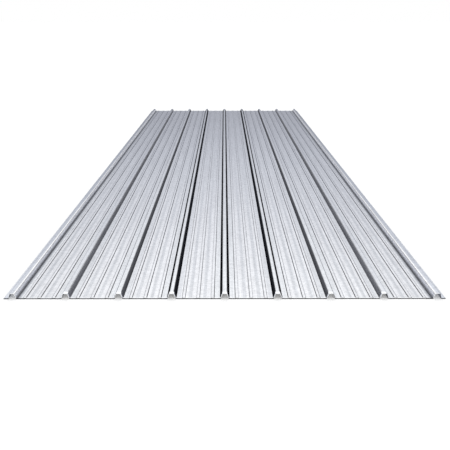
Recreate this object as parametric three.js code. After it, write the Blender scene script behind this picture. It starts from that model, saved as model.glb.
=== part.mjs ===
// A ribbed ("box-rib") roofing and cladding sheet. It is one strip of galvanised
// steel, roll-formed along its length and sheared square at both ends.
//
// Frame: X runs across the sheet, Y along it and Z up. The origin is the middle
// of the plane that the sheet rests on. Lengths are in millimetres.

import * as THREE from "three";

// ---- driving dimensions --------------------------------------------------

const SHEET_LENGTH = 2440;
const SHEET_THICKNESS = 1.2;

// Ribs and stiffeners are flat-topped ridges. Their widths are measured between
// the corners where the webs would meet the flats, on the middle of the metal.
const RIB_COUNT = 9;
const RIB_PITCH = 110;
const RIB_HEIGHT = 13; // from the underside of the pans to the top of the crest
const RIB_FOOT_WIDTH = 17;
const RIB_CREST_WIDTH = 9.5;
const RIB_BEND_RADIUS = 1.4;

// Flat strip left outside the foot of each edge rib.
const EDGE_FLANGE_WIDTH = 9.5;

// Low stiffeners rolled into every pan between two ribs.
const STIFFENERS_PER_PAN = 3;
const STIFFENER_SPACING = 30;
const STIFFENER_HEIGHT = 0.8; // above the pan
const STIFFENER_FOOT_WIDTH = 7;
const STIFFENER_CREST_WIDTH = 5;
const STIFFENER_BEND_RADIUS = 1;

// Flats in the arc of each bend.
const RIB_BEND_FLATS = 4;
const STIFFENER_BEND_FLATS = 3;

const ZINC_COLOR = 0xc9ccd2;
const ZINC_ROUGHNESS = 0.35;
const ZINC_METALNESS = 0.9;

// ---- ridges --------------------------------------------------------------

/** A flat-topped ridge with equal bends at its two feet and two shoulders. */
class Ridge {
  constructor(rise, footWidth, crestWidth, bendRadius, bendFlats) {
    const overhang = (footWidth - crestWidth) / 2;
    this.webAngle = Math.atan2(rise, overhang);
    this.bendRadius = bendRadius;
    this.bendFlats = bendFlats;
    this.setback = bendRadius * Math.tan(this.webAngle / 2); // from a corner to where its bend ends
    this.webRun = Math.hypot(rise, overhang) - 2 * this.setback;
    this.crestRun = crestWidth - 2 * this.setback;
  }
}

const rib = new Ridge(
  RIB_HEIGHT - SHEET_THICKNESS,
  RIB_FOOT_WIDTH,
  RIB_CREST_WIDTH,
  RIB_BEND_RADIUS,
  RIB_BEND_FLATS,
);
const stiffener = new Ridge(
  STIFFENER_HEIGHT,
  STIFFENER_FOOT_WIDTH,
  STIFFENER_CREST_WIDTH,
  STIFFENER_BEND_RADIUS,
  STIFFENER_BEND_FLATS,
);

// ---- widths of the flats between them ------------------------------------

const panWidth = RIB_PITCH - RIB_FOOT_WIDTH;
const stiffenerGroupWidth = (STIFFENERS_PER_PAN - 1) * STIFFENER_SPACING + STIFFENER_FOOT_WIDTH;
const panSideRun = (panWidth - stiffenerGroupWidth) / 2 - rib.setback - stiffener.setback;
const stiffenerGapRun = STIFFENER_SPACING - STIFFENER_FOOT_WIDTH - 2 * stiffener.setback;
const flangeRun = EDGE_FLANGE_WIDTH - rib.setback;

const sheetWidth = (RIB_COUNT - 1) * RIB_PITCH + RIB_FOOT_WIDTH + 2 * EDGE_FLANGE_WIDTH;

// ---- section -------------------------------------------------------------

/**
 * Follows the middle of the sheet metal from the left edge. Each station holds
 * a place and the heading of the metal there; run() and bend() add stations.
 */
class SectionPath {
  constructor(x, z) {
    this.stations = [{ x, z, heading: 0 }];
  }

  get end() {
    return this.stations[this.stations.length - 1];
  }

  /** Flat metal of the given length. */
  run(length) {
    const { x, z, heading } = this.end;
    this.stations.push({
      x: x + length * Math.cos(heading),
      z: z + length * Math.sin(heading),
      heading,
    });
  }

  /** A bend of the given radius; a positive turn is upwards. */
  bend(turn, radius, flats) {
    const { x, z, heading } = this.end;
    const side = Math.sign(turn);
    for (let i = 1; i <= flats; i += 1) {
      const turned = heading + (turn * i) / flats;
      this.stations.push({
        x: x + side * radius * (Math.sin(turned) - Math.sin(heading)),
        z: z + side * radius * (Math.cos(heading) - Math.cos(turned)),
        heading: turned,
      });
    }
  }

  /** Up one web of a ridge, over its crest and down the other web. */
  ridge({ webAngle, bendRadius, bendFlats, webRun, crestRun }) {
    this.bend(webAngle, bendRadius, bendFlats);
    this.run(webRun);
    this.bend(-webAngle, bendRadius, bendFlats);
    this.run(crestRun);
    this.bend(-webAngle, bendRadius, bendFlats);
    this.run(webRun);
    this.bend(webAngle, bendRadius, bendFlats);
  }

  /** The closed outline of the metal, half its thickness to each side. */
  outline(thickness) {
    const offset = (distance) => ({ x, z, heading }) =>
      new THREE.Vector2(x - distance * Math.sin(heading), z + distance * Math.cos(heading));
    const underside = this.stations.map(offset(-thickness / 2));
    const topside = this.stations.map(offset(thickness / 2));
    return [...underside, ...topside.reverse()];
  }
}

function addPan(path) {
  path.run(panSideRun);
  for (let i = 0; i < STIFFENERS_PER_PAN; i += 1) {
    if (i > 0) {
      path.run(stiffenerGapRun);
    }
    path.ridge(stiffener);
  }
  path.run(panSideRun);
}

function sheetSection() {
  const path = new SectionPath(-sheetWidth / 2, SHEET_THICKNESS / 2);
  path.run(flangeRun);
  for (let i = 0; i < RIB_COUNT; i += 1) {
    if (i > 0) {
      addPan(path);
    }
    path.ridge(rib);
  }
  path.run(flangeRun);
  return new THREE.Shape(path.outline(SHEET_THICKNESS));
}

// ---- the sheet -----------------------------------------------------------

function ribbedSheet() {
  const geometry = new THREE.ExtrudeGeometry(sheetSection(), {
    depth: SHEET_LENGTH,
    bevelEnabled: false,
  });
  geometry.rotateX(Math.PI / 2); // the section's second axis becomes +Z
  geometry.translate(0, SHEET_LENGTH / 2, 0);
  const material = new THREE.MeshStandardMaterial({
    color: ZINC_COLOR,
    roughness: ZINC_ROUGHNESS,
    metalness: ZINC_METALNESS,
  });
  const sheet = new THREE.Mesh(geometry, material);
  sheet.name = "ribbed_sheet";
  return sheet;
}

const part = new THREE.Group();
part.add(ribbedSheet());

export default part;
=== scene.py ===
"""A ribbed galvanised steel sheet for roofs and walls, lying flat on a pale studio floor.

Blender's unit is the metre. X runs across the sheet, Y along its ribs and Z up;
the origin is on the floor under the middle of the sheet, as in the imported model.
"""

import math

import bmesh
import bpy
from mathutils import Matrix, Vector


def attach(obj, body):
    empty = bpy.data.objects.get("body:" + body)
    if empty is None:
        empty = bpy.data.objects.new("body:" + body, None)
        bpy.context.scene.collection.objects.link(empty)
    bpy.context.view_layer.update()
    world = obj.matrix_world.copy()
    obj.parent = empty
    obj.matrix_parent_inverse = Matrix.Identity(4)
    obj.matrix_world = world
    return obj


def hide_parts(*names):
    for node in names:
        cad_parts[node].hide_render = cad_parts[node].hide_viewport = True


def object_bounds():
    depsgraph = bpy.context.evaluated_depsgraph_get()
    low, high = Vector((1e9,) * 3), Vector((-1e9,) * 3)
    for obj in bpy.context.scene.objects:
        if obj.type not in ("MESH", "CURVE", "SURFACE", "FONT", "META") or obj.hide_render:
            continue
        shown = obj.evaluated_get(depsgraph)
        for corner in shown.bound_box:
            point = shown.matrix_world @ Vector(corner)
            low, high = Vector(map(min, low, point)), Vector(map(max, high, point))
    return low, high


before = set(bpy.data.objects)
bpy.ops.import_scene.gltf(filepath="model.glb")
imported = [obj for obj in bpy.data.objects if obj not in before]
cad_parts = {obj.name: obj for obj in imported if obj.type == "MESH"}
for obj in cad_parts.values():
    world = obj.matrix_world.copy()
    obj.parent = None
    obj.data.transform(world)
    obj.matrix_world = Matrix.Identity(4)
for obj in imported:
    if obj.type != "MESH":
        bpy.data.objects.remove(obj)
CAD_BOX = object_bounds()

MM = 0.001

# ---- the sheet's section, in millimetres on the middle of the metal -----------

SHEET_LENGTH = 2440
SHEET_THICKNESS = 1.2

RIB_COUNT = 9
RIB_PITCH = 110
RIB_HEIGHT = 13
RIB_FOOT_WIDTH = 17
RIB_CREST_WIDTH = 9.5
RIB_BEND_RADIUS = 1.4
EDGE_FLANGE_WIDTH = 9.5

STIFFENERS_PER_PAN = 3
STIFFENER_SPACING = 30
STIFFENER_HEIGHT = 0.8
STIFFENER_FOOT_WIDTH = 7
STIFFENER_CREST_WIDTH = 5
STIFFENER_BEND_RADIUS = 1

# Beside the inner ribs the pan springs up towards the rib's foot in a shallow curve.
SPRING_HEIGHT = 0.6
SPRING_FROM = 15.5  # mm from the rib's middle, where it starts to rise
SPRING_TO = 9.6  # and where it meets the bend at the rib's foot
SPRING_STEPS = 4

RIB_BEND_SEGMENTS = 5
STIFFENER_BEND_SEGMENTS = 4
LENGTHWISE_CUTS = 11  # evenly along the sheet
SHARP_FOLD = math.radians(40)  # a sharper fold than this keeps a hard edge
SAME_PLACE = 0.01  # mm, points closer across than this are on one fold line

RIB_RISE = RIB_HEIGHT - SHEET_THICKNESS
RIB_SIDE_RUN = (RIB_FOOT_WIDTH - RIB_CREST_WIDTH) / 2
STIFFENER_SIDE_RUN = (STIFFENER_FOOT_WIDTH - STIFFENER_CREST_WIDTH) / 2
EDGE_RIB = (RIB_COUNT - 1) / 2 * RIB_PITCH  # from the sheet's middle to an edge rib's
HALF_WIDTH = EDGE_RIB + RIB_FOOT_WIDTH / 2 + EDGE_FLANGE_WIDTH
HALF_LENGTH = SHEET_LENGTH / 2

# ---- camera ------------------------------------------------------------------

CAMERA_DISTANCE = 0.9776  # in front of the sheet's near end
CAMERA_HEIGHT = 0.54044
CAMERA_ACROSS = -0.0008
CAMERA_PITCH = math.radians(21.046)
CAMERA_YAW = math.radians(0.080)
CAMERA_SENSOR = 36  # mm
CAMERA_LENS = 42.724  # mm
CAMERA_FAR = 500

# ---- studio ------------------------------------------------------------------

FLOOR_HALF_SIZE = 100
FLOOR_TONE = 0.76
FLOOR_GLOW = 0.22  # added where the floor is seen, so that it shows white

# A soft light all round, by its height above the horizon in degrees, its
# brightness, and how much bluer than neutral it is.
SKY = (
    (0, 1.00, 1.00),  # the wall, as white as the floor
    (2.6, 1.00, 1.00),
    (4.5, 0.75, 1.02),  # the gap under the big softbox
    (8.5, 0.75, 1.02),
    (11, 1.26, 1.005),
    (13.5, 1.53, 1.005),  # its lower edge, the brightest band
    (17, 1.27, 1.025),
    (22, 1.22, 1.035),
    (34, 1.31, 1.00),
    (50, 1.02, 1.00),  # the ceiling
    (90, 0.94, 1.00),
)
ZENITH = 90  # degrees above the horizon
SKY_SCALE = 1.6  # the brightness that the sky's colour ramp calls white
SKY_GREEN_SHARE = 0.25  # how far green goes along with blue

# ---- finish and painted shade of the pans --------------------------------------

PAN_BRIGHT = "#eff0f2"
PAN_BAND_SHADE = "#d9dbde"  # painted shade in bands between the stiffeners, standing for shallow valleys that the flat pans lack
PAN_OUTER_FOOT = "#e8eaec"  # painted shade beside a rib, on its side away from the sheet's middle
PAN_INNER_FOOT = "#e0e2e5"  # and painted shade on its side towards the middle
PAN_EVEN = "#e8eaec"  # what the bands even out to along the sheet
PAN_EVEN_FROM = 300  # mm from the front end, where the bands start to even out
PAN_EVEN_AT = 1100  # and where they are wholly even
OUTER_FOOT_BAND = 7  # mm wide, the painted shade beside a rib's outer side
OUTER_FOOT_FADE = 9  # and the mm over which it brightens
INNER_FOOT_BAND = 8  # the same beside its inner side
INNER_FOOT_FADE = 1.5
VALLEY_SHIFT = 1.5  # mm, the valleys lie a little off the middle of their gaps
VALLEY_CORE = 2  # mm to each side of a valley's middle that is fully dull
VALLEY_EDGE = 5  # and where the pan is bright again

PAN_LIGHT_MIDDLE = 0.955  # painted shade: how much of the light the pans keep in the sheet's middle
PAN_LIGHT_EDGE = 0.872  # and at its long edges
PAN_SHADE_FROM = 160  # mm from the middle, where it starts to fall off

# Each stiffener shows as a line of painted shade on its inner side, with a faint
# painted shadow past its outer foot. In the two middle pans the dark line weakens along the sheet.
STIFFENER_LINE = 0.91  # how much darker than the pan the inner side is
STIFFENER_LINE_MIDDLE = (0.70, 0.20)  # in the middle pans, at the front end and at its weakest
STIFFENER_LINE_WEAKEST = 1400  # mm from the front end
STIFFENER_LINE_FADE = (90, 130)  # mm across, where the middle's value becomes the rest's
STIFFENER_LINE_LAP = 0.2  # mm that the line laps over the bends beside it
STIFFENER_LINE_BLUR = 0.2  # mm that each of its borders fades over
FAINT_LINE = 0.17  # as a share of the dark one
FAINT_LINE_WIDTH = 1.2  # mm
FAINT_LINE_BLUR = 1.2

# ---- finish, painted shade and highlights of the ribs --------------------------

RIB_TONE_PAST_FOOT = 1.6  # mm that the tone of a rib's side runs on past its foot
RIB_REACH = RIB_FOOT_WIDTH / 2 + RIB_TONE_PAST_FOOT  # where it ends, from the rib's middle
INNER_SIDE_LAP = 0.4  # mm of the crest that the inner side's tone takes in
OUTER_SIDE_GAP = 0.1  # mm past the crest, where the outer side's tone is full
RIB_TONE_BLUR = 0.3  # mm over which a side's tone becomes the crest's

# From the middle rib out: the tone of the inner side, which faces the sheet's
# middle, at its foot and at its top, of the outer side, and of the crest; then how
# dull the sides are. The middle rib has two outer sides. The dark sides are painted
# shade and painted reflection, darker at the foot and darkest on the middle ribs;
# they don't come from the scene's light, so they show from every side.
RIB_TONES = (
    (None, None, "#0e0e0f", "#e8eaec", 1.0),
    ("#060607", "#343538", "#101011", "#e8eaec", 1.0),
    ("#48494c", "#7a7b7f", "#6e6f73", "#e5e7e9", 0.7),
    ("#6e6f73", "#a9aaad", "#8c8d91", "#dcdee1", 0.4),
)
CREST_EDGE = (0.0, 1.1, -0.3, -0.3)  # mm that a crest's outer edge is narrowed by, from the middle

# Across an edge rib, in millimetres from its middle, with how dull the metal is.
# These are painted as well: painted shade by the rib's foot and a painted highlight on its
# shoulder.
EDGE_RIB_TONES = (
    (-21.5, "#f4f5f6", 0.0),  # the pan
    # the pan darkens towards the rib's foot: painted shade
    (-16.0, "#d8dadd", 0.0),
    (-11.8, "#b0b2b7", 0.3),
    (-10.1, "#1e1f21", 0.6),  # painted shade in the crease at the rib's foot
    (-9.0, "#1e1f21", 0.6),
    (-8.5, "#c2c4cc", 0.8),  # its side, with painted shade that lightens towards the top
    (-7.0, "#e2e4ec", 0.8),
    (-6.0, "#ffffff", 0.5),
    (-5.0, "#ffffff", 0.0),  # a painted highlight on the smooth shoulder
    (-3.9, "#ffffff", 0.0),
    (-3.0, "#d3d6dc", 0.0),  # crest, outer side and flange
)

# ---- the zinc's own texture, and the cut ends with painted shade and highlight ---

CRYSTAL_SIZE = 5  # mm, the spangle
CRYSTAL_DEPTH = 0.16
BAND_SIZE = (8, 400)  # mm across and along, the streaks that the rolls leave
BAND_DEPTH = 0.10
HAIR_SIZE = (1.7, 160)  # mm
HAIR_DEPTH = 0.26
TEXTURE_LOW = 1 - (CRYSTAL_DEPTH + BAND_DEPTH + HAIR_DEPTH) / 2  # keeps its mean at 1

ZINC_ROUGHNESS = 0.2
DULL_ROUGHNESS = 0.8
ZINC_GRAZING = (0.402, 0.412, 0.465, 1)  # what the zinc keeps of light that just skims it
EDGE_GRAZING = (0.33, 0.34, 0.380, 1)  # and by the long edges

END_BAND_CREST = 8  # mm of painted highlight at a cut end, on the crests
END_BAND = 3.5  # and lower down; there is none on the edge ribs
END_BAND_STEP = (0.2, 0.6)  # mm outside a crest, where the one becomes the other
# the tone of the painted highlight at the ends
END_HIGHLIGHT = "#f8f9fa"
SHADOW_LIP = 1.5  # mm of painted shadow beside the cut, where the pans meet the floor
SHADOW_LIP_TOP = 2 * SHEET_THICKNESS  # mm above the floor, so it shows on the pans only
# the painted shadow's tone, on the pans' lip and low on the cut
SHADOWED_STEEL = "#2a2b2e"

# The cut face: painted shadow low down by the floor, painted reflection of the floor higher up.
CUT_DARK = "#1c1d1f"
CUT_DARK_TOP = 2.1  # mm above the floor
CUT_BRIGHT_FROM = 2.9
CUT_BRIGHT = "#e6e8ea"
CUT_TOP = "#f4f5f6"
CUT_METALLIC = 0.4
CUT_ROUGHNESS = 0.5
DARK_CUT_SIDE = (4.0, 9.6)  # mm from a rib's middle, the side whose cut is painted with shade
DARK_CUT_FROM = 170  # mm right of the sheet's middle, where that starts
DARK_CUT_FULL = 300  # and where it is wholly dark


def hex_to_linear(code, alpha=1.0):
    """'#c9ccd2' as linear red, green and blue, with an alpha."""
    channels = [int(code[i:i + 2], 16) / 255 for i in (1, 3, 5)]
    linear = [c / 12.92 if c <= 0.04045 else ((c + 0.055) / 1.055) ** 2.4 for c in channels]
    return (*linear, alpha)


def add_node(tree, kind, inputs=None, **settings):
    """Adds a node. An input is a value, a socket, or a node whose first output feeds it.

    Inputs that share a name are told by number: a Mix node has its factor at 0 and
    its colours at 6 and 7, and a Map Range node its ranges at 1 to 4.
    """
    node = tree.nodes.new(kind)
    for name, value in settings.items():
        setattr(node, name, value)
    for socket, value in (inputs or {}).items():
        if isinstance(value, bpy.types.Node):
            value = value.outputs[0]
        if isinstance(value, bpy.types.NodeSocket):
            tree.links.new(value, node.inputs[socket])
        else:
            node.inputs[socket].default_value = value
    return node


def set_stops(ramp, stops):
    """Gives a colour ramp its stops, as pairs of a place from 0 to 1 and a colour."""
    elements = ramp.color_ramp.elements
    elements.remove(elements[1])
    for i, (place, color) in enumerate(stops):
        stop = elements[0] if i == 0 else elements.new(place)
        stop.position = place
        stop.color = color


def new_material(name):
    material = bpy.data.materials.new(name)
    material.use_nodes = True
    return material, material.node_tree, material.node_tree.nodes["Principled BSDF"]


# ---- tones across the sheet ----------------------------------------------------

def pan_stops():
    """The pans' tone over one pitch, from a rib's middle outwards, with painted shade beside the
    ribs and in bands between the stiffeners.
    """
    outer_end = RIB_REACH + OUTER_FOOT_BAND
    inner_start = RIB_PITCH - RIB_REACH - INNER_FOOT_BAND
    stops = [
        (RIB_REACH, PAN_OUTER_FOOT),
        (outer_end, PAN_OUTER_FOOT),
        (outer_end + OUTER_FOOT_FADE, PAN_BRIGHT),
    ]
    for gap in range(STIFFENERS_PER_PAN - 1):
        from_middle = (gap - (STIFFENERS_PER_PAN - 2) / 2) * STIFFENER_SPACING
        valley = RIB_PITCH / 2 + from_middle + VALLEY_SHIFT
        stops.append((valley - VALLEY_EDGE, PAN_BRIGHT))
        stops.append((valley - VALLEY_CORE, PAN_BAND_SHADE))
        stops.append((valley + VALLEY_CORE, PAN_BAND_SHADE))
        stops.append((valley + VALLEY_EDGE, PAN_BRIGHT))
    stops.append((inner_start - INNER_FOOT_FADE, PAN_BRIGHT))
    stops.append((inner_start, PAN_INNER_FOOT))
    stops.append((RIB_PITCH - RIB_REACH, PAN_INNER_FOOT))
    return [(mm / RIB_PITCH, hex_to_linear(code)) for mm, code in stops]


def stiffener_stops():
    """How dark the painted shade makes the metal over one spacing, with a stiffener in its middle.
    """
    middle = STIFFENER_SPACING / 2
    crest = STIFFENER_CREST_WIDTH / 2
    foot = STIFFENER_FOOT_WIDTH / 2
    stops = (
        (middle - foot - STIFFENER_LINE_LAP - STIFFENER_LINE_BLUR, 0),
        (middle - foot - STIFFENER_LINE_LAP, 1),
        (middle - crest + STIFFENER_LINE_LAP, 1),
        (middle - crest + STIFFENER_LINE_LAP + STIFFENER_LINE_BLUR, 0),
        (middle + crest - STIFFENER_LINE_LAP, 0),
        (middle + foot, FAINT_LINE),
        (middle + foot + FAINT_LINE_WIDTH, FAINT_LINE),
        (middle + foot + FAINT_LINE_WIDTH + FAINT_LINE_BLUR, 0),
    )
    return [(mm / STIFFENER_SPACING, (share, share, share, 1)) for mm, share in stops]


def rib_stops():
    """The ribs' tones, with their painted shade and painted highlight, from the sheet's middle to
    its long edge; alpha is how dull they are.
    """
    crest = RIB_CREST_WIDTH / 2
    stops = []
    for rib, (foot_tone, top_tone, outer_tone, crest_tone, dull) in enumerate(RIB_TONES):
        middle = rib * RIB_PITCH
        if rib > 0:
            inner_side = middle - crest + INNER_SIDE_LAP
            stops.append((middle - RIB_REACH, foot_tone, dull))
            stops.append((inner_side, top_tone, dull))
            stops.append((inner_side + RIB_TONE_BLUR, crest_tone, 0))
        outer_side = middle + crest - CREST_EDGE[rib] + OUTER_SIDE_GAP
        stops.append((outer_side - RIB_TONE_BLUR, crest_tone, 0))
        stops.append((outer_side, outer_tone, dull))
        stops.append((middle + RIB_REACH, outer_tone, dull))
    for mm, code, dull in EDGE_RIB_TONES:
        stops.append((EDGE_RIB + mm, code, dull))
    return [(mm / HALF_WIDTH, hex_to_linear(code, dull)) for mm, code, dull in stops]


# ---- materials ---------------------------------------------------------------

def galvanised_steel():
    """Steel strip dipped in molten zinc, then formed cold between rolls.

    The zinc froze into a small spangle, so the metal glints in patches rather than
    mirrors, and the rolls drew long streaks and hairlines along it. The sides of
    the ribs and stiffeners are dark beside the bright flats. That is painted shade
    and a painted reflection of the dark surroundings that steep sides mirror. The
    pans carry painted shade too, and each end a painted highlight.
    """
    material, tree, shader = new_material("hot-dip galvanised steel")
    place = add_node(tree, "ShaderNodeTexCoord").outputs["Object"]
    axes = add_node(tree, "ShaderNodeSeparateXYZ", {0: place}).outputs
    across = add_node(tree, "ShaderNodeMath", {0: axes["X"]}, operation="ABSOLUTE")
    along = add_node(tree, "ShaderNodeMath", {0: axes["Y"]}, operation="ABSOLUTE")

    # where a point is within its pitch, within its stiffener's spacing, and from a rib
    pitches = add_node(
        tree, "ShaderNodeMath", {0: across, 1: 1 / (RIB_PITCH * MM)}, operation="MULTIPLY")
    in_pitch = add_node(tree, "ShaderNodeMath", {0: pitches}, operation="FRACT")
    first_spacing = RIB_PITCH / 2 - STIFFENERS_PER_PAN / 2 * STIFFENER_SPACING
    spacings = add_node(tree, "ShaderNodeMath", {
        0: in_pitch, 1: RIB_PITCH / STIFFENER_SPACING, 2: 1 - first_spacing / STIFFENER_SPACING,
    }, operation="MULTIPLY_ADD")
    in_spacing = add_node(tree, "ShaderNodeMath", {0: spacings}, operation="FRACT")
    to_edge = add_node(
        tree, "ShaderNodeMath", {0: across, 1: 1 / (HALF_WIDTH * MM)}, operation="MULTIPLY")
    from_rib = add_node(
        tree, "ShaderNodeMath", {0: across, 1: RIB_PITCH / 2 * MM}, operation="PINGPONG")

    # the tones across, with the pans' bands evening out along the sheet
    pan_bands = add_node(tree, "ShaderNodeValToRGB", {0: in_pitch})
    set_stops(pan_bands, pan_stops())
    even = add_node(tree, "ShaderNodeMapRange", {
        0: axes["Y"], 1: (PAN_EVEN_FROM - HALF_LENGTH) * MM,
        2: (PAN_EVEN_AT - HALF_LENGTH) * MM, 3: 0.0, 4: 1.0})
    pan_tone = add_node(tree, "ShaderNodeMix", {
        0: even, 6: pan_bands, 7: hex_to_linear(PAN_EVEN)}, data_type="RGBA").outputs[2]
    stiffener_tone = add_node(tree, "ShaderNodeValToRGB", {0: in_spacing})
    set_stops(stiffener_tone, stiffener_stops())
    rib_tone = add_node(tree, "ShaderNodeValToRGB", {0: to_edge})
    set_stops(rib_tone, rib_stops())

    on_edge = add_node(tree, "ShaderNodeMath", {
        0: across, 1: (EDGE_RIB + EDGE_RIB_TONES[0][0]) * MM}, operation="GREATER_THAN")
    on_rib = add_node(
        tree, "ShaderNodeMath", {0: from_rib, 1: RIB_REACH * MM}, operation="LESS_THAN")
    on_rib = add_node(tree, "ShaderNodeMath", {0: on_rib, 1: on_edge}, operation="MAXIMUM")

    # a painted highlight along each end, wider on the crests, over the ribs' painted dark sides
    crest = RIB_CREST_WIDTH / 2
    end_start = add_node(tree, "ShaderNodeMapRange", {
        0: from_rib, 1: (crest + END_BAND_STEP[0]) * MM, 2: (crest + END_BAND_STEP[1]) * MM,
        3: (HALF_LENGTH - END_BAND_CREST) * MM, 4: (HALF_LENGTH - END_BAND) * MM})
    at_end = add_node(
        tree, "ShaderNodeMath", {0: along, 1: end_start}, operation="GREATER_THAN")
    end_highlight_mask = add_node(
        tree, "ShaderNodeMath", {0: at_end, 1: on_edge}, operation="SUBTRACT", use_clamp=True)

    # the pans: painted shade darkens them towards the long edges, with the stiffeners' lines of
    # painted shade
    edge_shade = add_node(tree, "ShaderNodeMapRange", {
        0: across, 1: PAN_SHADE_FROM * MM, 2: HALF_WIDTH * MM, 3: PAN_LIGHT_MIDDLE, 4: PAN_LIGHT_EDGE})
    middle_line = add_node(tree, "ShaderNodeMapRange", {
        0: axes["Y"], 1: -HALF_LENGTH * MM, 2: (STIFFENER_LINE_WEAKEST - HALF_LENGTH) * MM,
        3: STIFFENER_LINE_MIDDLE[0], 4: STIFFENER_LINE_MIDDLE[1]})
    depth = add_node(tree, "ShaderNodeMapRange", {
        0: across, 1: STIFFENER_LINE_FADE[0] * MM, 2: STIFFENER_LINE_FADE[1] * MM,
        3: middle_line, 4: STIFFENER_LINE})
    line = add_node(
        tree, "ShaderNodeMath", {0: stiffener_tone, 1: depth}, operation="MULTIPLY")
    unlined = add_node(tree, "ShaderNodeMath", {0: 1.0, 1: line}, operation="SUBTRACT")
    shade = add_node(tree, "ShaderNodeMath", {0: edge_shade, 1: unlined}, operation="MULTIPLY")
    pan_zinc = add_node(
        tree, "ShaderNodeVectorMath", {0: pan_tone, "Scale": shade}, operation="SCALE")

    zinc = add_node(tree, "ShaderNodeMix", {
        0: on_rib, 6: pan_zinc, 7: rib_tone}, data_type="RGBA").outputs[2]

    # spangle, rolled streaks and hairlines; real hairlines are some 0.2 mm apart,
    # too fine to show, so they are drawn wider
    crystals = add_node(
        tree, "ShaderNodeTexVoronoi", {"Vector": place, "Scale": 1 / (CRYSTAL_SIZE * MM)})
    crystal = add_node(tree, "ShaderNodeSeparateColor", {0: crystals.outputs["Color"]})
    texture = add_node(tree, "ShaderNodeMath", {
        0: crystal, 1: CRYSTAL_DEPTH, 2: TEXTURE_LOW}, operation="MULTIPLY_ADD")
    for size, depth, detail in ((BAND_SIZE, BAND_DEPTH, 1.0), (HAIR_SIZE, HAIR_DEPTH, 0.0)):
        stretched = add_node(tree, "ShaderNodeMapping", {
            "Vector": place, "Scale": (1 / (size[0] * MM), 1 / (size[1] * MM), 0)})
        streaks = add_node(
            tree, "ShaderNodeTexNoise", {"Vector": stretched, "Scale": 1.0, "Detail": detail})
        texture = add_node(tree, "ShaderNodeMath", {
            0: streaks, 1: depth, 2: texture}, operation="MULTIPLY_ADD")
    zinc = add_node(
        tree, "ShaderNodeVectorMath", {0: zinc, "Scale": texture}, operation="SCALE")
    # the painted highlight at the ends
    zinc = add_node(tree, "ShaderNodeMix", {
        0: end_highlight_mask, 6: zinc, 7: hex_to_linear(END_HIGHLIGHT)}, data_type="RGBA").outputs[2]

    # painted shadow along the cut end of the pans
    near_lip = add_node(tree, "ShaderNodeMath", {
        0: along, 1: (HALF_LENGTH - SHADOW_LIP) * MM}, operation="GREATER_THAN")
    low = add_node(
        tree, "ShaderNodeMath", {0: axes["Z"], 1: SHADOW_LIP_TOP * MM}, operation="LESS_THAN")
    lip_shadow = add_node(tree, "ShaderNodeMath", {0: near_lip, 1: low}, operation="MULTIPLY")
    color = add_node(tree, "ShaderNodeMix", {
        0: lip_shadow, 6: zinc, 7: hex_to_linear(SHADOWED_STEEL)}, data_type="RGBA").outputs[2]
    tree.links.new(color, shader.inputs["Base Color"])

    # the ribs' sides are dull as well as painted dark, except on the painted end highlight
    dull = add_node(
        tree, "ShaderNodeMath", {0: on_rib, 1: rib_tone.outputs["Alpha"]}, operation="MULTIPLY")
    dull = add_node(
        tree, "ShaderNodeMath", {0: dull, 1: end_highlight_mask}, operation="SUBTRACT", use_clamp=True)
    roughness = add_node(tree, "ShaderNodeMath", {
        0: dull, 1: DULL_ROUGHNESS - ZINC_ROUGHNESS, 2: ZINC_ROUGHNESS}, operation="MULTIPLY_ADD")
    tree.links.new(roughness.outputs[0], shader.inputs["Roughness"])
    grazing = add_node(tree, "ShaderNodeMix", {
        0: on_edge, 6: ZINC_GRAZING, 7: EDGE_GRAZING}, data_type="RGBA").outputs[2]
    tree.links.new(grazing, shader.inputs["Specular Tint"])
    shader.inputs["Metallic"].default_value = 1.0
    return material


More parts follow.
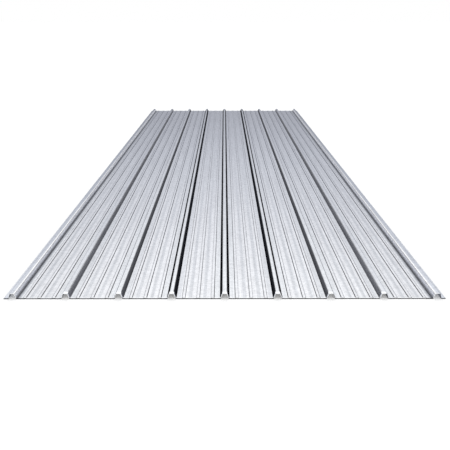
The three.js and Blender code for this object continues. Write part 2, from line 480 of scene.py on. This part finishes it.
def sheared_edge():
    """The metal's thickness, cut by a shear blade.

    The cut is bare steel. Its lower, flat parts are painted dark with shadow by the
    floor, and higher up it is painted pale, a painted reflection of the white floor.
    """
    material, tree, shader = new_material("sheared steel edge")
    place = add_node(tree, "ShaderNodeTexCoord").outputs["Object"]
    axes = add_node(tree, "ShaderNodeSeparateXYZ", {0: place}).outputs
    share = add_node(
        tree, "ShaderNodeMath", {0: axes["Z"], 1: 1 / (RIB_HEIGHT * MM)}, operation="MULTIPLY")
    tone = add_node(tree, "ShaderNodeValToRGB", {0: share})
    # painted shadow low on the cut, painted reflection of the floor higher up
    set_stops(tone, (  # alpha is how metallic the cut is
        (0, hex_to_linear(CUT_DARK)),
        (CUT_DARK_TOP / RIB_HEIGHT, hex_to_linear(SHADOWED_STEEL)),
        (CUT_BRIGHT_FROM / RIB_HEIGHT, hex_to_linear(CUT_BRIGHT, CUT_METALLIC)),
        (1, hex_to_linear(CUT_TOP, CUT_METALLIC)),
    ))

    # towards the right the cut of the ribs' outer sides is painted with shade
    pitches = add_node(
        tree, "ShaderNodeMath", {0: axes["X"], 1: 1 / (RIB_PITCH * MM)}, operation="MULTIPLY")
    in_pitch = add_node(tree, "ShaderNodeMath", {0: pitches}, operation="FRACT")
    side_middle = sum(DARK_CUT_SIDE) / 2
    on_side = add_node(tree, "ShaderNodeMath", {
        0: in_pitch, 1: side_middle / RIB_PITCH,
        2: (DARK_CUT_SIDE[1] - side_middle) / RIB_PITCH}, operation="COMPARE")
    darker = add_node(tree, "ShaderNodeMapRange", {
        0: axes["X"], 1: DARK_CUT_FROM * MM, 2: DARK_CUT_FULL * MM, 3: 0.0, 4: 1.0})
    darker = add_node(
        tree, "ShaderNodeMath", {0: darker, 1: on_side}, operation="MULTIPLY")
    color = add_node(tree, "ShaderNodeMix", {
        0: darker, 6: tone, 7: hex_to_linear(CUT_DARK)}, data_type="RGBA").outputs[2]
    tree.links.new(color, shader.inputs["Base Color"])
    tree.links.new(tone.outputs["Alpha"], shader.inputs["Metallic"])
    shader.inputs["Roughness"].default_value = CUT_ROUGHNESS
    shader.inputs["Specular Tint"].default_value = ZINC_GRAZING
    return material


def floor_paint():
    """Matt white paint on a flat floor: an even white with a soft shadow."""
    material, tree, shader = new_material("matt white paint")
    shader.inputs["Base Color"].default_value = (FLOOR_TONE, FLOOR_TONE, FLOOR_TONE, 1)
    shader.inputs["Roughness"].default_value = 1.0
    rays = add_node(tree, "ShaderNodeLightPath").outputs
    seen = add_node(tree, "ShaderNodeMath", {
        0: rays["Is Camera Ray"], 1: rays["Is Glossy Ray"]}, operation="MAXIMUM")
    seen = add_node(
        tree, "ShaderNodeMath", {0: seen, 1: rays["Is Transmission Ray"]}, operation="MAXIMUM")
    glow = add_node(tree, "ShaderNodeMath", {0: seen, 1: FLOOR_GLOW}, operation="MULTIPLY")
    shader.inputs["Emission Color"].default_value = (1, 1, 1, 1)
    tree.links.new(glow.outputs[0], shader.inputs["Emission Strength"])
    return material


# ---- the sheet ---------------------------------------------------------------

FLAT, RIB_FOLD, STIFFENER_FOLD = 0, 1, 2


def spring_rise():
    """The pan's rise towards a rib, as pairs of mm from the rib's middle and height."""
    rise = []
    for step in range(SPRING_STEPS + 1):
        share = step / SPRING_STEPS
        rise.append((SPRING_FROM + (SPRING_TO - SPRING_FROM) * share, SPRING_HEIGHT * share**2))
    return rise


def section_corners():
    """The section's corners: place across, height on the middle of the metal, fold."""
    corners = [(-HALF_WIDTH, 0, FLAT)]

    def add_ridge(middle, foot, crest, base, top, fold):
        corners.append((middle - foot / 2, base, fold))
        corners.append((middle - crest / 2, top, fold))
        corners.append((middle + crest / 2, top, fold))
        corners.append((middle + foot / 2, base, fold))

    spring = spring_rise()
    for rib in range(RIB_COUNT):
        rib_middle = rib * RIB_PITCH - EDGE_RIB
        if rib > 0:
            for i in range(STIFFENERS_PER_PAN):
                from_middle = (i - (STIFFENERS_PER_PAN - 1) / 2) * STIFFENER_SPACING
                add_ridge(
                    rib_middle - RIB_PITCH / 2 + from_middle, STIFFENER_FOOT_WIDTH,
                    STIFFENER_CREST_WIDTH, 0, STIFFENER_HEIGHT, STIFFENER_FOLD)
        inner = 0 < rib < RIB_COUNT - 1
        if inner:
            corners.extend((rib_middle - away, height, FLAT) for away, height in spring)
        base = SPRING_HEIGHT if inner else 0
        add_ridge(rib_middle, RIB_FOOT_WIDTH, RIB_CREST_WIDTH, base, RIB_RISE, RIB_FOLD)
        if inner:
            corners.extend((rib_middle + away, height, FLAT) for away, height in reversed(spring))
    corners.append((HALF_WIDTH, 0, FLAT))
    return corners


def make_sheet():
    """The section is swept along the sheet, its folds are rounded, and it gets its thickness."""
    mesh = bmesh.new()
    fold = mesh.verts.layers.int.new("fold")
    line = []
    for x, z, kind in section_corners():
        place = (x * MM, -HALF_LENGTH * MM, (z + SHEET_THICKNESS / 2) * MM)
        corner = mesh.verts.new(place)
        corner[fold] = kind
        line.append(corner)
    for left, right in zip(line, line[1:]):
        mesh.edges.new((left, right))
    swept = bmesh.ops.extrude_edge_only(mesh, edges=mesh.edges[:])["geom"]
    far_end = [item for item in swept if isinstance(item, bmesh.types.BMVert)]
    bmesh.ops.translate(mesh, verts=far_end, vec=(0, SHEET_LENGTH * MM, 0))

    rib_angle = math.atan2(RIB_RISE, RIB_SIDE_RUN)
    stiffener_angle = math.atan2(STIFFENER_HEIGHT, STIFFENER_SIDE_RUN)
    folds = (
        (RIB_FOLD, RIB_BEND_RADIUS, rib_angle, RIB_BEND_SEGMENTS),
        (STIFFENER_FOLD, STIFFENER_BEND_RADIUS, stiffener_angle, STIFFENER_BEND_SEGMENTS),
    )
    for kind, radius, angle, segments in folds:
        creases = []
        for edge in mesh.edges:
            near, far = edge.verts
            if near[fold] == kind and abs(near.co.x - far.co.x) < SAME_PLACE * MM:
                creases.append(edge)
        bmesh.ops.bevel(
            mesh, geom=creases, offset=radius * math.tan(angle / 2) * MM, offset_type="OFFSET",
            segments=segments, profile=0.5, affect="EDGES", material=-1, clamp_overlap=False)

    lengthwise = []
    for edge in mesh.edges:
        near, far = edge.verts
        if abs(near.co.y - far.co.y) > HALF_LENGTH * MM:
            lengthwise.append(edge)
    bmesh.ops.subdivide_edges(
        mesh, edges=lengthwise, cuts=LENGTHWISE_CUTS, use_grid_fill=True)

    # every face looks the same way, and that way is up
    bmesh.ops.recalc_face_normals(mesh, faces=mesh.faces[:])
    if sum(face.normal.z * face.calc_area() for face in mesh.faces) < 0:
        bmesh.ops.reverse_faces(mesh, faces=mesh.faces[:])

    data = bpy.data.meshes.new("sheet")
    mesh.to_mesh(data)
    mesh.free()
    data.materials.append(galvanised_steel())
    data.materials.append(sheared_edge())
    sheet = bpy.data.objects.new("sheet", data)
    bpy.context.collection.objects.link(sheet)
    metal = sheet.modifiers.new("thickness", "SOLIDIFY")
    metal.thickness = SHEET_THICKNESS * MM
    metal.offset = 0
    metal.use_even_offset = True
    metal.material_offset_rim = 1  # the cut faces take the second material
    sheet.data = bpy.data.meshes.new_from_object(
        sheet.evaluated_get(bpy.context.evaluated_depsgraph_get()))
    sheet.modifiers.clear()
    sheet.data.shade_smooth()
    sheet.data.set_sharp_from_angle(angle=SHARP_FOLD)
    flats = sheet.modifiers.new("flats stay flat", "WEIGHTED_NORMAL")
    flats.keep_sharp = True
    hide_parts("ribbed_sheet")
    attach(sheet, "root")


# ---- stage, light and camera -------------------------------------------------

def make_floor():
    mesh = bmesh.new()
    bmesh.ops.create_grid(mesh, x_segments=1, y_segments=1, size=FLOOR_HALF_SIZE)
    data = bpy.data.meshes.new("floor")
    mesh.to_mesh(data)
    mesh.free()
    data.materials.append(floor_paint())
    floor = bpy.data.objects.new("floor", data)
    bpy.context.collection.objects.link(floor)


def make_world():
    """A soft light all round, told by its height above the horizon."""
    world = bpy.data.worlds.new("studio")
    bpy.context.scene.world = world
    world.use_nodes = True
    tree = world.node_tree
    direction = add_node(tree, "ShaderNodeTexCoord").outputs["Generated"]
    height = add_node(tree, "ShaderNodeSeparateXYZ", {0: direction}).outputs["Z"]
    elevation = add_node(tree, "ShaderNodeMath", {0: height}, operation="ARCSINE")
    share = add_node(
        tree, "ShaderNodeMath", {0: elevation, 1: 1 / math.radians(ZENITH)}, operation="MULTIPLY")
    sky = add_node(tree, "ShaderNodeValToRGB", {0: share})
    stops = []
    for degrees, brightness, blue in SKY:
        red = brightness / math.sqrt(blue) / SKY_SCALE
        green = red * (1 + (blue - 1) * SKY_GREEN_SHARE)
        stops.append((degrees / ZENITH, (red, green, red * blue, 1)))
    set_stops(sky, stops)
    background = tree.nodes["Background"]
    background.inputs["Strength"].default_value = SKY_SCALE
    tree.links.new(sky.outputs["Color"], background.inputs["Color"])


def make_camera():
    camera = bpy.data.objects.new("camera", bpy.data.cameras.new("camera"))
    bpy.context.collection.objects.link(camera)
    near_end = CAD_BOX[0][1]
    camera.location = (CAMERA_ACROSS, near_end - CAMERA_DISTANCE, CAMERA_HEIGHT)
    camera.rotation_euler = (math.pi / 2 - CAMERA_PITCH, 0, -CAMERA_YAW)
    camera.data.sensor_width = CAMERA_SENSOR
    camera.data.lens = CAMERA_LENS
    camera.data.clip_end = CAMERA_FAR
    bpy.context.scene.camera = camera


make_camera()
make_world()
make_floor()
make_sheet()
bpy.context.scene.view_settings.view_transform = "Standard"
